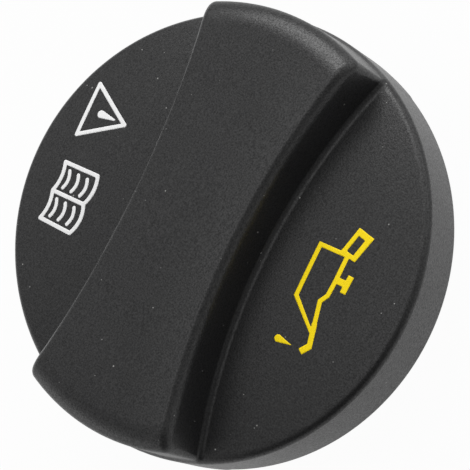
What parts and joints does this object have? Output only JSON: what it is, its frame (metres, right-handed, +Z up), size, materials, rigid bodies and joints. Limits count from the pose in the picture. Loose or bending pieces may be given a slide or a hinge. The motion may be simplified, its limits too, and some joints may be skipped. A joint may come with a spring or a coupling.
{
  "type": "oil filler cap",
  "caption": "Round moulded oil filler cap with a raised waisted grip bar across it, a quarter-turn bayonet plug and a flat seal ring below.",
  "frame": {"origin": "centre of the plug's lower end, on the plane that the cap stands on", "axes": "+Z up the cap's axis, from the plug to the grip bar; X along the grip bar; +Y towards the side face with the oil can mark"},
  "size_m": [0.068, 0.068, 0.0404],
  "materials": {
    "knob_plastic": "fine moulded grain, black",
    "plug_plastic": "smooth moulded, black",
    "seal_rubber": "smooth black rubber",
    "yellow_print": "satin printed ink",
    "white_print": "satin printed ink"
  },
  "bodies": {
    "root": {"cap_knob": "knob_plastic", "bayonet_plug": "plug_plastic", "seal_ring": "seal_rubber"}
  },
  "joints": []
}
